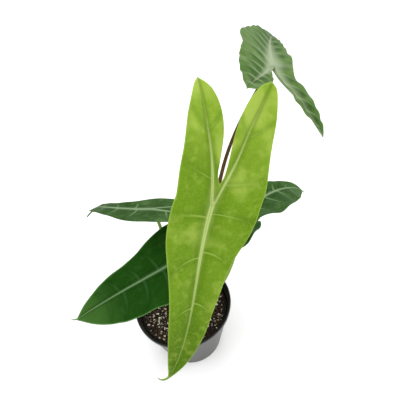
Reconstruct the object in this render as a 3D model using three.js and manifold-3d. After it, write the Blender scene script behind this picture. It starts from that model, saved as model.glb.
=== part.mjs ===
// Potted dragon tooth alocasia: five arrow-shaped leaves on long stalks, a corm, potting mix and a pot.
// Millimetres, +Z up. The origin is the middle of the pot's base, and the pot stands on the plane z = 0.

import * as THREE from 'three';
import { mergeVertices } from 'three/addons/utils/BufferGeometryUtils.js';
import Module from 'manifold-3d';

const wasm = await Module();
wasm.setup();

// Driving dimensions of the pot
const potHeight = 86;
const rimRadius = 54; // a 4 inch pot is 108 mm across its rim
const footRadius = 35.5;
const potWall = 1.6;
const rimBand = 7; // height of the stiff band under the lip
const drainRadius = 3.5;
const drainRing = 22;
const drainCount = 6;

// Potting mix and corm
const mixDepthBelowRim = 12;
const mixLump = 0.9; // height of the lumps on top
const cormRadius = 16.5;
const cormTop = 79;
const cormBottom = 50;
const seatGap = 0.3; // clear space between pieces that touch

// Leaf stalks
const stalkRing = 11; // distance of the stalk bases from the middle of the corm
const stalkFoot = 73; // height where a stalk starts, inside its socket
const stalkBaseRadius = 4.4;
const stalkNeckRadius = 2.9;
const stalkTopRadius = 1.5;
const stalkSides = 10;
const stalkSteps = 20;

// Blade
const bladeOver = 0.35; // thickness above and below the mid surface
const bladeUnder = 0.45;
const ribDepth = 1.9; // how far the ribs stand out of the underside at the junction
const ribHalfWidth = 2.2;
const curlStart = 0.97; // the drip tip starts to curl just short of the apex
const rowGap = 0.1; // widest space between rows of corners
const shoulderReach = 0.25; // how far a broader or narrower shoulder runs from the junction

// Side veins leave the ribs in near pairs and sweep towards the tip, and the blade bulges between them.
const veinSweep = 0.13;
const lobeSweep = 0.04;
const veinStagger = 0.03; // the right one of a pair starts this much nearer the junction

// Half outline of a blade laid flat, in blade lengths: x away from the midrib, y towards the apex.
// The junction of blade and stalk is at 0, 0.
const frontEdge = [
  [0.212, -0.04], [0.212, 0.06], [0.200, 0.16], [0.175, 0.26], [0.150, 0.36], [0.130, 0.47], [0.114, 0.58],
  [0.098, 0.69], [0.074, 0.80], [0.042, 0.905], [0, 1],
];
const outerEdge = [
  [0.212, -0.04], [0.219, -0.14], [0.218, -0.26], [0.220, -0.38], [0.221, -0.48], [0.212, -0.57],
  [0.191, -0.638], [0.155, -0.672],
];
const innerEdge = [
  [0, -0.115], [0.018, -0.17], [0.024, -0.27], [0.028, -0.38], [0.040, -0.48], [0.064, -0.57],
  [0.102, -0.638], [0.155, -0.672],
];

// Each leaf: where its junction is, how its blade is turned and bent, and the way of its stalk.
// Angles are in degrees. droop, turn and twist say how pitch, heading and roll change along the blade.
// sinus is how far behind the junction, in blade lengths, the notch between the lobes starts.
// veins are the starts of the side veins, in blade lengths ahead of the junction and in parts of a lobe.
const leaves = [
  {
    name: 'front', colour: 0x84a62b, stalkColour: 0x8fa557, junction: [46.9, -55.5, 310.4], length: 151.4,
    heading: -131.7, pitch: 51.6, roll: -45.4, droop: [24.5, -28.8], turn: [53, -70.3], twist: -2.7,
    lobeDroop: 28.1, lobeTurn: -35.9, width: 0.986, innerWidth: 1.18, belly: 0.029, lean: -0.046,
    sinus: 0.115, fold: 0.274, cup: 0.041, wave: [0.41, 2.918, -0.94], quilt: 0.5, crimp: 0.4,
    veins: { front: [0.055, 0.265, 0.55, 0.78], lobe: [0.2, 0.58] },
    tail: { length: 0.09, half: 0.006, turn: -80, droop: -20 },
    right: {
      turn: -3.2, length: 0.865, lift: 16.3, taper: 0.167,
      shoulder: 0.118, swell: 0.061, round: -0.146,
    },
    left: {
      turn: 2.3, length: 0.832, lift: -20, taper: 0.412,
      shoulder: -0.132, swell: -0.009, round: -0.085,
    },
    stalkAngle: -72, stalkWay: [[37, -119, 262], [-5, -16, 240]],
  },
  {
    name: 'lower_left', colour: 0x254a1b, stalkColour: 0x5f7a3a, junction: [16.3, 8.2, 163.9], length: 124.9,
    heading: 204.4, pitch: 2, roll: 11.3, droop: [11.4, -2.8], turn: [-18.4, 18.3], twist: -28.5,
    lobeDroop: 12.7, lobeTurn: -4.8, width: 1.923, innerWidth: 1, belly: 0.102, lean: 0.287, sinus: 0.115,
    fold: 0.227, cup: 0.828, wave: [1.19, 2.978, -0.25], quilt: 0.6, crimp: 0.6,
    veins: { front: [0.1, 0.26, 0.43, 0.61, 0.75], lobe: [0.18, 0.45, 0.72] },
    tail: { length: 0.05, half: 0.006, turn: -60, droop: 0 },
    right: {
      turn: 2.1, length: 0.889, lift: 6.3, taper: 0.158,
      shoulder: -0.163, swell: 0.163, round: 0,
    },
    left: {
      turn: 6, length: 0.9, lift: -5, taper: 0,
      shoulder: 0.196, swell: 0, round: 0,
    },
    stalkAngle: 196, stalkWay: [[-1, 1, 106], [8, 5, 135]],
  },
  {
    name: 'upper_left', colour: 0x3d5d2c, stalkColour: 0x6f8440, junction: [-14.4, 51.7, 192.1],
    length: 124.3, heading: 165.7, pitch: 4.8, roll: 22.9,
    droop: [47.3, 7.3], turn: [-65.4, 14.8], twist: -19.9,
    lobeDroop: 8.8, lobeTurn: 0.6, width: 0.979, innerWidth: 1.006, belly: -0.289, lean: 0.123, sinus: 0.17,
    fold: 0.023, cup: -0.064, wave: [-0.04, 2.678, 0.45], quilt: 0.5, crimp: 0.5,
    veins: { front: [0.14, 0.34, 0.54, 0.74], lobe: [0.25, 0.6] },
    tail: { length: 0.12, half: 0.014, turn: 150, droop: -60 },
    right: {
      turn: 0.4, length: 0.891, lift: -1, taper: -0.016,
      shoulder: -0.062, swell: 0.076, round: 0.004,
    },
    left: {
      turn: 0.8, length: 0.913, lift: 7.8, taper: 0.034,
      shoulder: 0.086, swell: -0.024, round: -0.01,
    },
    stalkAngle: 124, stalkWay: [[-8, 61, 175], [-9, 55, 166]],
  },
  {
    name: 'right', colour: 0x3a6027, stalkColour: 0x6f8440, junction: [73, -10.5, 242.9], length: 101,
    heading: 40.5, pitch: 10.2, roll: -15.2, droop: [24.5, 20.5], turn: [-1.8, -6.3], twist: 46.2,
    lobeDroop: 17.7, lobeTurn: -3.8, width: 0.987, innerWidth: 1, belly: 0.295, lean: -0.302, sinus: 0.115,
    fold: 0.236, cup: -0.05, wave: [1.24, 3.12, -2.15], quilt: 0.6, crimp: 0.8,
    veins: { front: [0.1, 0.3, 0.5, 0.7], lobe: [0.2, 0.5] },
    tail: { length: 0.05, half: 0.006, turn: -60, droop: 0 },
    right: {
      turn: -5, length: 0.8, lift: -7, taper: 0.01,
      shoulder: 0, swell: 0, round: 0,
    },
    left: {
      turn: 0, length: 0.86, lift: 0, taper: 0,
      shoulder: -0.12, swell: 0, round: 0,
    },
    stalkAngle: -4, stalkWay: [[15, -6, 123], [48, -72, 168]],
  },
  {
    name: 'top', colour: 0x5e7c46, stalkColour: 0x4a3722, junction: [128.1, 131.2, 284.2], length: 152.3,
    heading: 81.9, pitch: 15.6, roll: 30.1, droop: [6.7, 8.3], turn: [-3.5, -7.3], twist: -0.8,
    lobeDroop: -2.3, lobeTurn: 0.9, width: 1.06, innerWidth: 1.496, belly: 0.12, lean: 0.268, sinus: 0.094,
    fold: 0.4, cup: 0.156, wave: [0.33, 3.529, -0.67], quilt: 1.3, crimp: 1.2,
    veins: { front: [0.1, 0.27, 0.44, 0.62, 0.8], lobe: [0.14, 0.32, 0.5, 0.68, 0.85] },
    tail: { length: 0.05, half: 0.006, turn: 30, droop: 0 },
    right: {
      turn: 2.6, length: 0.808, lift: -5.5, taper: 0.433,
      shoulder: -0.118, swell: 0.006, round: -0.2,
    },
    left: {
      turn: 11.3, length: 1.101, lift: -6, taper: 0.53,
      shoulder: -0.201, swell: -0.161, round: -1.071,
    },
    stalkAngle: 54, stalkWay: [[66, 23, 161], [33, 143, 117]],
  },
];

// Small helpers

const radians = (degrees) => (degrees * Math.PI) / 180;
const clamp01 = (x) => Math.min(Math.max(x, 0), 1);
const smooth = (x) => clamp01(x) ** 2 * (3 - 2 * clamp01(x));

function finish(name, geometry, colour, roughness) {
  geometry.computeVertexNormals();
  const material = new THREE.MeshStandardMaterial({ color: colour, roughness, flatShading: true });
  const mesh = new THREE.Mesh(geometry, material);
  mesh.name = name;
  return mesh;
}

function toSolid(geometry) {
  const bare = geometry.clone();
  bare.deleteAttribute('normal');
  bare.deleteAttribute('uv');
  const merged = mergeVertices(bare, 1e-4);
  const vertProperties = new Float32Array(merged.attributes.position.array);
  const triVerts = new Uint32Array(merged.index.array);
  return new wasm.Manifold(new wasm.Mesh({ numProp: 3, vertProperties, triVerts }));
}

function toGeometry(solid) {
  const mesh = solid.getMesh();
  const geometry = new THREE.BufferGeometry();
  geometry.setAttribute('position', new THREE.BufferAttribute(new Float32Array(mesh.vertProperties), 3));
  geometry.setIndex(new THREE.BufferAttribute(new Uint32Array(mesh.triVerts), 1));
  return geometry;
}

function fromLists(points, triangles) {
  const geometry = new THREE.BufferGeometry();
  const places = points.flatMap((p) => [p.x, p.y, p.z]);
  geometry.setAttribute('position', new THREE.Float32BufferAttribute(places, 3));
  geometry.setIndex(triangles.flat());
  return geometry;
}

// A solid of revolution about the Z axis, from a profile of radius and height
function turned(profile, segments) {
  const lathe = new THREE.LatheGeometry(profile.map(([r, z]) => new THREE.Vector2(r, z)), segments);
  return lathe.rotateX(Math.PI / 2);
}

// Pot

function wallRadius(z) {
  return footRadius + ((rimRadius - 2.8 - footRadius) * z) / (potHeight - rimBand);
}

function pot() {
  const bandFoot = potHeight - rimBand;
  const floorTop = 2.2;
  const profile = [
    [0, 0], [footRadius - 1, 0], [footRadius, 0.8], [wallRadius(bandFoot), bandFoot],
    [rimRadius - 0.8, bandFoot + 0.6], [rimRadius, potHeight - 1.8], [rimRadius - 0.4, potHeight - 0.5],
    [rimRadius - 1.3, potHeight],
    [rimRadius - 2.3, potHeight - 0.6], [rimRadius - 2.6, potHeight - 2],
    [rimRadius - 3.0, bandFoot], [wallRadius(bandFoot - 2) - potWall, bandFoot - 2],
    [wallRadius(floorTop + 1) - potWall, floorTop + 1], [wallRadius(floorTop) - potWall - 1.2, floorTop],
    [0, floorTop],
  ];
  let solid = toSolid(turned(profile, 64));
  for (let i = 0; i < drainCount; i += 1) {
    const angle = (2 * Math.PI * (i + 0.5)) / drainCount;
    const hole = new THREE.CylinderGeometry(drainRadius, drainRadius, 10, 16).rotateX(Math.PI / 2);
    hole.translate(drainRing * Math.cos(angle), drainRing * Math.sin(angle), 0);
    solid = solid.subtract(toSolid(hole));
  }
  return finish('pot', toGeometry(solid), 0x3a3b3a, 0.45);
}

// Corm and potting mix

function cormProfile(grow) {
  return [
    [0, cormBottom - grow], [8 + grow, cormBottom - grow], [13.5 + grow, cormBottom + 6],
    [cormRadius + grow, 64], [cormRadius + 0.3 + grow, 72], [cormRadius - 0.7 + grow, cormTop - 2.5],
    [cormRadius - 2.7 + grow, cormTop - 0.4 + grow], [0, cormTop + grow],
  ];
}

function corm(stalks) {
  let solid = toSolid(turned(cormProfile(0), 32));
  for (const stalk of stalks) solid = solid.subtract(stalk.socket);
  return finish('corm', toGeometry(solid), 0x5a4630, 0.9);
}

function pottingMix(stalks) {
  const top = potHeight - mixDepthBelowRim;
  const bottom = 2.2 + seatGap;
  const edge = (z) => wallRadius(z) - potWall - seatGap - 0.05;
  const rings = [cormRadius - 3, cormRadius + 2, 24, 30, 36, 42, edge(top)];
  const profile = [
    [0, bottom], [edge(bottom) - 1.6, bottom], [edge(3.4) - 0.2, 3.4],
    ...rings.slice().reverse().map((r) => [r, top]), [0, top],
  ];
  const body = turned(profile, 48);
  const place = body.attributes.position;
  for (let i = 0; i < place.count; i += 1) {
    const x = place.getX(i);
    const y = place.getY(i);
    const inside = Math.hypot(x, y) < edge(top) - 1;
    if (place.getZ(i) > top - 0.1 && inside) {
      const lump = Math.sin(0.31 * x + 1.1) * Math.sin(0.37 * y) + 0.6 * Math.sin(0.83 * x - 0.71 * y);
      place.setZ(i, top + mixLump * lump);
    }
  }
  let solid = toSolid(body).subtract(toSolid(turned(cormProfile(seatGap), 32)));
  for (const stalk of stalks) solid = solid.subtract(stalk.socket);
  return finish('potting_mix', toGeometry(solid), 0x2b221a, 1);
}

// Blade

// Catmull-Rom curve through an outline's points, s from 0 to 1
function along(outline, s) {
  const last = outline.length - 1;
  const x = clamp01(s) * last;
  const i = Math.min(Math.floor(x), last - 1);
  const f = x - i;
  const p = [Math.max(i - 1, 0), i, i + 1, Math.min(i + 2, last)].map((k) => outline[k]);
  return [0, 1].map((a) => 0.5 * (2 * p[1][a] + (p[2][a] - p[0][a]) * f
    + (2 * p[0][a] - 5 * p[1][a] + 4 * p[2][a] - p[3][a]) * f ** 2
    + (3 * p[1][a] - p[0][a] - 3 * p[2][a] + p[3][a]) * f ** 3));
}

// The bent midrib line: places and directions from behind the lobes to the drip tip
function spineOf(leaf) {
  const steps = 122;
  const rows = [];
  for (let i = 0; i <= steps; i += 1) {
    const v = -1 + (2.1 * i) / steps;
    const ahead = Math.max(v, 0);
    const behind = Math.min(v, 0);
    const curl = clamp01((v - curlStart) / (1 + leaf.tail.length - curlStart));
    const heading = radians(leaf.heading + leaf.turn[0] * ahead + leaf.turn[1] * ahead ** 2
      + leaf.lobeTurn * behind + leaf.tail.turn * curl);
    const pitch = radians(leaf.pitch + leaf.droop[0] * ahead + leaf.droop[1] * ahead ** 2
      + leaf.lobeDroop * behind + leaf.tail.droop * curl);
    const roll = radians(leaf.roll + leaf.twist * v);
    const forward = new THREE.Vector3(
      Math.cos(pitch) * Math.cos(heading), Math.cos(pitch) * Math.sin(heading), -Math.sin(pitch));
    const level = new THREE.Vector3(-Math.sin(heading), Math.cos(heading), 0);
    const upright = forward.clone().cross(level);
    const across = level.multiplyScalar(Math.cos(roll)).addScaledVector(upright, Math.sin(roll));
    rows.push({ v, forward, across, up: forward.clone().cross(across), place: new THREE.Vector3() });
  }
  const stepLength = (2.1 * leaf.length) / steps;
  for (let i = 1; i <= steps; i += 1) {
    const mean = rows[i].forward.clone().add(rows[i - 1].forward).multiplyScalar(0.5);
    rows[i].place.copy(rows[i - 1].place).addScaledVector(mean, stepLength);
  }
  const shift = new THREE.Vector3(...leaf.junction).sub(sampleSpine(rows, 0).place);
  for (const row of rows) row.place.add(shift);
  return rows;
}

function sampleSpine(rows, v) {
  const x = clamp01((v + 1) / 2.1) * (rows.length - 1);
  const i = Math.min(Math.floor(x), rows.length - 2);
  const mix = (key) => rows[i][key].clone().lerp(rows[i + 1][key], x - i);
  return { place: mix('place'), across: mix('across'), up: mix('up') };
}

// Turns and stretches a posterior lobe about the notch
function shapeLobe(leaf, side, [x, y]) {
  const lobe = side > 0 ? leaf.right : leaf.left;
  const { sinus } = leaf;
  const stretched = y < -sinus ? -sinus + (y + sinus) * lobe.length : y;
  const angle = radians(lobe.turn) * smooth((-stretched - sinus) / 0.3);
  const [cos, sin] = [Math.cos(angle), Math.sin(angle)];
  return [x * cos - stretched * sin, x * sin + stretched * cos];
}

// Lines across the blade start at q on the rib and sweep towards the tip as t goes from rib to edge
function swept(part, q, side, t) {
  if (q >= 1) return q;
  const bow = 6.75 * q * (1 - q) ** 2; // 1 at a third of the way, 0 at both ends
  const fade = clamp01(q / 0.08) * clamp01((1 - q) / 0.2) * clamp01(t / 0.06);
  const sweep = part === 'front' ? veinSweep : lobeSweep;
  return q + sweep * bow * t ** 1.6 - (side > 0 ? veinStagger * fade : 0);
}

// 0 on a side vein, 1 half way between two and on the line where blade and lobe meet
function bulgeAt(veins, q) {
  const marks = [0, ...veins, 1];
  let k = 0;
  while (k < veins.length && q > marks[k + 1]) k += 1;
  const way = clamp01((q - marks[k]) / (marks[k + 1] - marks[k]));
  const from = k === 0 ? 0.5 : 0;
  const to = k === veins.length ? 0.5 : 1;
  return 0.5 - 0.5 * Math.cos(2 * Math.PI * (from + (to - from) * way));
}

// Rows of corners: one on each side vein, one half way between, and more where the space is wide
function rowsAlong(veins) {
  const marks = [0, ...veins, 1];
  const rows = [0];
  for (let k = 1; k < marks.length; k += 1) {
    const gap = marks[k] - marks[k - 1];
    const parts = Math.max(2, 2 * Math.round(gap / (2 * rowGap)));
    for (let i = 1; i <= parts; i += 1) rows.push(marks[k - 1] + (gap * i) / parts);
  }
  return rows;
}

// A point of the flat blade. part is front, outer or inner; s runs along the rib, t from the rib to the edge.
function flatPoint(leaf, part, side, s, t) {
  const own = side > 0 ? leaf.right : leaf.left;
  const shoulder = 1 + own.shoulder * Math.exp(-((s / shoulderReach) ** 2));
  const width = leaf.width * (1 + side * leaf.lean) * shoulder;
  let rib;
  let edge;
  if (part === 'front') {
    const [x, y] = along(frontEdge, s);
    const full = x * width * (1 + leaf.belly * Math.sin(Math.PI * clamp01(s)));
    const left = clamp01((1 + leaf.tail.length - s) / leaf.tail.length);
    rib = [0, s];
    edge = [Math.hypot(full, leaf.tail.half * smooth((s - 0.85) / 0.15) * Math.sqrt(left)), s > 1 ? s : y];
  } else {
    const end = outerEdge.at(-1);
    const point = along(part === 'outer' ? outerEdge : innerEdge, s);
    const x = point[0];
    // the notch between the lobes starts at the leaf's own place
    const spread = (end[1] + leaf.sinus) / (end[1] - innerEdge[0][1]);
    const y = part === 'outer' ? point[1] : (point[1] - innerEdge[0][1]) * spread - leaf.sinus;
    const ribX = end[0] * (1.1 * s - 0.1 * s ** 2);
    const scale = part === 'outer'
      ? width * (1 - own.taper * s ** 2 + own.swell * Math.sin(Math.PI * s))
      : leaf.innerWidth * (1 + own.round * s ** 3);
    edge = shapeLobe(leaf, side, [ribX + (x - ribX) * scale, y]);
    rib = shapeLobe(leaf, side, [ribX, end[1] * s]);
  }
  const halfWidth = Math.hypot(edge[0] - rib[0], edge[1] - rib[1]);
  return { u: side * (rib[0] + (edge[0] - rib[0]) * t), v: rib[1] + (edge[1] - rib[1]) * t, halfWidth };
}

// The point at q and t on the bent blade's mid surface
function bladePoint(leaf, spine, part, side, q, t) {
  const s = swept(part, q, side, t);
  const { u, v, halfWidth } = flatPoint(leaf, part, side, s, t);
  const [waveHeight, waveCount, wavePhase] = leaf.wave;
  const phase = wavePhase + (side > 0 ? 0 : 2.1);
  const turns = 2 * Math.PI * waveCount * s;
  const angles = { front: turns + phase, outer: phase - turns, inner: 0.8 * turns };
  const ripple = Math.sin(angles[part]);
  const bulge = bulgeAt(part === 'front' ? leaf.veins.front : leaf.veins.lobe, q);
  const wide = clamp01(halfWidth / 0.12);
  let height = leaf.fold * leaf.length * halfWidth * t * (1 - 0.4 * t);
  height += waveHeight * t ** 2 * (1 - clamp01(s) ** 3) * ripple * wide;
  height += (leaf.quilt * 4 * t * (1 - t) + leaf.crimp * t ** 3) * bulge * wide;
  if (part !== 'front') {
    const lift = side > 0 ? leaf.right.lift : leaf.left.lift;
    height += lift * Math.max((-v - leaf.sinus) / 0.6, 0) ** 2;
  }
  const row = sampleSpine(spine, v);
  const bend = leaf.cup * u;
  const out = leaf.cup === 0 ? u : Math.sin(bend) / leaf.cup;
  const rise = leaf.cup === 0 ? 0 : (1 - Math.cos(bend)) / leaf.cup;
  const normal = row.up.clone().multiplyScalar(Math.cos(bend)).addScaledVector(row.across, -Math.sin(bend));
  return row.place.addScaledVector(row.across, leaf.length * out).addScaledVector(row.up, leaf.length * rise)
    .addScaledVector(normal, height);
}

// A closed blade: the same triangles above and below the mid surface, with ribs standing out below
function bladeSolid(leaf, grow = 0) {
  const spine = spineOf(leaf);
  const points = [];
  const ribs = [];
  const faces = [];
  const known = new Map();
  const addPoint = (point, rib) => {
    const key = [point.x, point.y, point.z].map((c) => Math.round(c * 1000)).join();
    if (!known.has(key)) {
      known.set(key, points.length);
      points.push(point);
      ribs.push(rib);
    }
    return known.get(key);
  };
  for (const side of [1, -1]) {
    for (const part of ['front', 'outer', 'inner']) {
      const rows = rowsAlong(part === 'front' ? leaf.veins.front : leaf.veins.lobe);
      if (part === 'front') rows.push(...[0.25, 0.5, 0.75, 1].map((x) => 1 + x * leaf.tail.length));
      const grid = rows.map((q) => {
        const { halfWidth } = flatPoint(leaf, part, side, q, 1);
        const nearRib = Math.min(ribHalfWidth / Math.max(halfWidth * leaf.length, 0.1), 0.3);
        const columns = part === 'inner' ? [0, 0.5, 1] : [0, nearRib, 0.36, 0.68, 1];
        const depth = ribDepth * Math.max(1 - 0.75 * q, 0.1);
        return columns.map((t) => addPoint(bladePoint(leaf, spine, part, side, q, t), t === 0 ? depth : 0));
      });
      const flip = (part === 'outer') !== (side < 0);
      for (let i = 0; i + 1 < rows.length; i += 1) {
        for (let j = 0; j + 1 < grid[i].length; j += 1) {
          const [a, b, c, d] = [grid[i][j], grid[i + 1][j], grid[i + 1][j + 1], grid[i][j + 1]];
          for (const face of [[a, b, c], [a, c, d]]) {
            if (new Set(face).size === 3) faces.push(flip ? [face[0], face[2], face[1]] : face);
          }
        }
      }
    }
  }
  return thicken(points, ribs, faces, grow);
}

function thicken(points, ribs, faces, grow) {
  const normals = points.map(() => new THREE.Vector3());
  for (const [a, b, c] of faces) {
    const normal = points[b].clone().sub(points[a]).cross(points[c].clone().sub(points[a]));
    for (const corner of [a, b, c]) normals[corner].add(normal);
  }
  normals.forEach((normal) => normal.normalize());
  const count = points.length;
  const over = points.map((p, i) => p.clone().addScaledVector(normals[i], bladeOver + grow));
  const under = points.map((p, i) => p.clone().addScaledVector(normals[i], -bladeUnder - ribs[i] - grow));
  const edges = new Map();
  for (const [a, b, c] of faces) {
    for (const [from, to] of [[a, b], [b, c], [c, a]]) {
      if (!edges.delete(`${to},${from}`)) edges.set(`${from},${to}`, [from, to]);
    }
  }
  const triangles = [];
  for (const [a, b, c] of faces) triangles.push([a, b, c], [a + count, c + count, b + count]);
  for (const [from, to] of edges.values()) {
    triangles.push([from, from + count, to], [to, from + count, to + count]);
  }
  return fromLists([...over, ...under], triangles);
}

// Stalk

// A tapered tube round a curve, closed at both ends
function taperedTube(curve, radiusAt, steps, sides) {
  const frames = curve.computeFrenetFrames(steps, false);
  const points = [];
  const triangles = [];
  for (let i = 0; i <= steps; i += 1) {
    const centre = curve.getPointAt(i / steps);
    for (let j = 0; j < sides; j += 1) {
      const angle = (2 * Math.PI * j) / sides;
      const spoke = frames.normals[i].clone().multiplyScalar(Math.cos(angle))
        .addScaledVector(frames.binormals[i], Math.sin(angle));
      points.push(centre.clone().addScaledVector(spoke, radiusAt(i / steps)));
    }
  }
  const start = points.push(curve.getPointAt(0)) - 1;
  const end = points.push(curve.getPointAt(1)) - 1;
  for (let j = 0; j < sides; j += 1) {
    const k = (j + 1) % sides;
    for (let i = 0; i < steps; i += 1) {
      const [a, b, c, d] = [i * sides + j, i * sides + k, (i + 1) * sides + k, (i + 1) * sides + j];
      triangles.push([a, b, c], [a, c, d]);
    }
    triangles.push([start, k, j], [end, steps * sides + j, steps * sides + k]);
  }
  return fromLists(points, triangles);
}

function stalkRadius(x) {
  const sheath = Math.exp(-x / 0.12);
  const taper = (stalkNeckRadius - stalkTopRadius) * (1 - x);
  return stalkTopRadius + taper + (stalkBaseRadius - stalkNeckRadius) * sheath;
}

function stalkOf(leaf) {
  const angle = radians(leaf.stalkAngle);
  const foot = new THREE.Vector3(stalkRing * Math.cos(angle), stalkRing * Math.sin(angle), stalkFoot);
  const junction = sampleSpine(spineOf(leaf), 0);
  const top = junction.place.clone().addScaledVector(junction.up, -(bladeUnder + 0.5 * ribDepth));
  const way = leaf.stalkWay.map((p) => new THREE.Vector3(...p));
  const curve = new THREE.CubicBezierCurve3(foot, ...way, top);
  const socketCurve = new THREE.CubicBezierCurve3(foot.clone().setZ(stalkFoot - seatGap), ...way, top);
  const body = toSolid(taperedTube(curve, stalkRadius, stalkSteps, stalkSides));
  const keepOut = toSolid(bladeSolid(leaf, seatGap));
  return {
    mesh: finish(`stalk_${leaf.name}`, toGeometry(body.subtract(keepOut)), leaf.stalkColour, 0.5),
    socket: toSolid(taperedTube(socketCurve, (x) => stalkRadius(x) + seatGap, stalkSteps, stalkSides)),
  };
}

// Whole plant

const plant = new THREE.Group();
const stalks = leaves.map(stalkOf);
plant.add(pot(), pottingMix(stalks), corm(stalks));
for (const stalk of stalks) plant.add(stalk.mesh);
for (const leaf of leaves) plant.add(finish(`blade_${leaf.name}`, bladeSolid(leaf), leaf.colour, 0.45));

export default plant;
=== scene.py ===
import math
from functools import partial
import bmesh
import bpy
import numpy as np
from mathutils import Matrix, Vector


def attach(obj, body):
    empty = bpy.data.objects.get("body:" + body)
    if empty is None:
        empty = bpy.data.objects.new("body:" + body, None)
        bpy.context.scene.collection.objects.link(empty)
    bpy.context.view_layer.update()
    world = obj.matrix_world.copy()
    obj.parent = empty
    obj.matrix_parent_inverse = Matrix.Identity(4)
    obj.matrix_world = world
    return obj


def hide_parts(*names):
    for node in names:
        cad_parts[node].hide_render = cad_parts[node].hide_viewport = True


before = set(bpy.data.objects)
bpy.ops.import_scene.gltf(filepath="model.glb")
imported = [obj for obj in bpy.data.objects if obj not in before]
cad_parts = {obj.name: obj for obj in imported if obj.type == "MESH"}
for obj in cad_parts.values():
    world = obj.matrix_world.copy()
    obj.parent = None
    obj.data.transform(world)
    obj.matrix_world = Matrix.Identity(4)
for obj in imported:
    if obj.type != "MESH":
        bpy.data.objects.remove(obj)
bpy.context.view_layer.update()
mm = 0.001
print("frame loaded")


# Small helpers

def hexColour(code):
    parts = [int(code[i:i + 2], 16) / 255 for i in (1, 3, 5)]
    linear = [c / 12.92 if c <= 0.04045 else ((c + 0.055) / 1.055) ** 2.4 for c in parts]
    return (*linear, 1.0)


def fillInputs(node, inputs):
    # inputs are numbers, colours or sockets to link from
    for key, value in inputs.items():
        if isinstance(value, bpy.types.NodeSocket):
            node.id_data.links.new(value, node.inputs[key])
        else:
            node.inputs[key].default_value = value


def addNode(tree, kind, settings=None, inputs=None):
    node = tree.nodes.new(kind)
    for key, value in (settings or {}).items():
        setattr(node, key, value)
    fillInputs(node, inputs or {})
    return node


def newMaterial(name):
    material = bpy.data.materials.new(name)
    material.use_nodes = True
    material.node_tree.nodes.clear()
    add = partial(addNode, material.node_tree)
    shader = add("ShaderNodeBsdfPrincipled")
    add("ShaderNodeOutputMaterial", inputs={"Surface": shader.outputs["BSDF"]})
    return material, add, shader


def newTree(name, inputs):
    # an empty geometry tree with its named inputs; geometry goes in and comes out
    tree = bpy.data.node_groups.new(name, "GeometryNodeTree")
    tree.interface.new_socket("Geometry", in_out="INPUT", socket_type="NodeSocketGeometry")
    for label, kind in inputs.items():
        tree.interface.new_socket(label, in_out="INPUT", socket_type="NodeSocket" + kind)
    tree.interface.new_socket("Geometry", in_out="OUTPUT", socket_type="NodeSocketGeometry")
    add = partial(addNode, tree)
    return tree, add, add("NodeGroupInput").outputs


def finishTree(add, geometry, finish):
    # the last nodes of every geometry tree
    real = add("GeometryNodeRealizeInstances", {}, {"Geometry": geometry})
    painted = add("GeometryNodeSetMaterial", {}, {"Geometry": real.outputs[0], "Material": finish})
    add("NodeGroupOutput", {}, {"Geometry": painted.outputs[0]})


def ringPlaces(radius, count, start=0):
    turns = 2 * math.pi * (np.arange(count) + start) / count
    return [(radius * math.cos(turn), radius * math.sin(turn)) for turn in turns]


def smoothStep(x):
    x = np.clip(x, 0, 1)
    return x * x * (3 - 2 * x)


def unit(v):
    return v / np.maximum(np.linalg.norm(v, axis=-1, keepdims=True), 1e-12)


def meshObject(name, points, faces, material, fields=None, smooth=True):
    mesh = bpy.data.meshes.new(name)
    mesh.from_pydata([tuple(p) for p in points], [], [tuple(f) for f in faces])
    for key, values in (fields or {}).items():
        layer = mesh.attributes.new(key, "FLOAT", "POINT")
        layer.data.foreach_set("value", np.asarray(values, np.float32))
    mesh.materials.append(material)
    mesh.polygons.foreach_set("use_smooth", [smooth] * len(mesh.polygons))
    mesh.update()
    piece = bpy.data.objects.new(name, mesh)
    bpy.context.scene.collection.objects.link(piece)
    return piece


def growTree(piece, tree, values):
    # runs a geometry tree once on a piece and keeps its result as plain mesh
    modifier = piece.modifiers.new(tree.name, "NODES")
    modifier.node_group = tree
    for item in tree.interface.items_tree:
        if item.in_out == "INPUT" and item.name in values:
            modifier[item.identifier] = values[item.name]
    bpy.context.view_layer.update()
    mesh = bpy.data.meshes.new_from_object(piece.evaluated_get(bpy.context.evaluated_depsgraph_get()))
    piece.modifiers.remove(modifier)
    piece.data = mesh


# Camera, at the photograph's viewing angle: 50.5 degrees down, rolled 9 degrees

view = {
    "place": (0.0445, -0.279, 0.581),
    "down": 50.5,
    "roll": -9.0,
    "sensor": 36,  # mm
    "focalPixels": 500,
    "imagePixels": 416,
}


def makeCamera():
    data = bpy.data.cameras.new("camera")
    data.sensor_width = view["sensor"]
    data.lens = view["sensor"] * view["focalPixels"] / view["imagePixels"]
    data.clip_start = 0.01
    camera = bpy.data.objects.new("camera", data)
    tilt = Matrix.Rotation(math.radians(90 - view["down"]), 4, "X")
    roll = Matrix.Rotation(math.radians(view["roll"]), 4, "Z")
    camera.matrix_world = Matrix.Translation(view["place"]) @ tilt @ roll
    bpy.context.scene.collection.objects.link(camera)
    bpy.context.scene.camera = camera


makeCamera()


# Light and floor: a flat white floor under big soft boxes

studio = {
    "floor": "#ffffff",
    "worldStrength": 0.78,
    "target": (0, 0, 0.18),
    "lights": {
        "key": {"place": (-0.35, -0.25, 1.45), "size": 1.6, "power": 14},
        "fill": {"place": (0.95, -0.6, 0.9), "size": 1.0, "power": 3.4},
        "back": {"place": (0.2, 1.1, 1.1), "size": 0.9, "power": 4.6},
        "edge": {"place": (0.9, 0.15, 0.3), "size": 0.5, "power": 3.2},
    },
}


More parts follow.
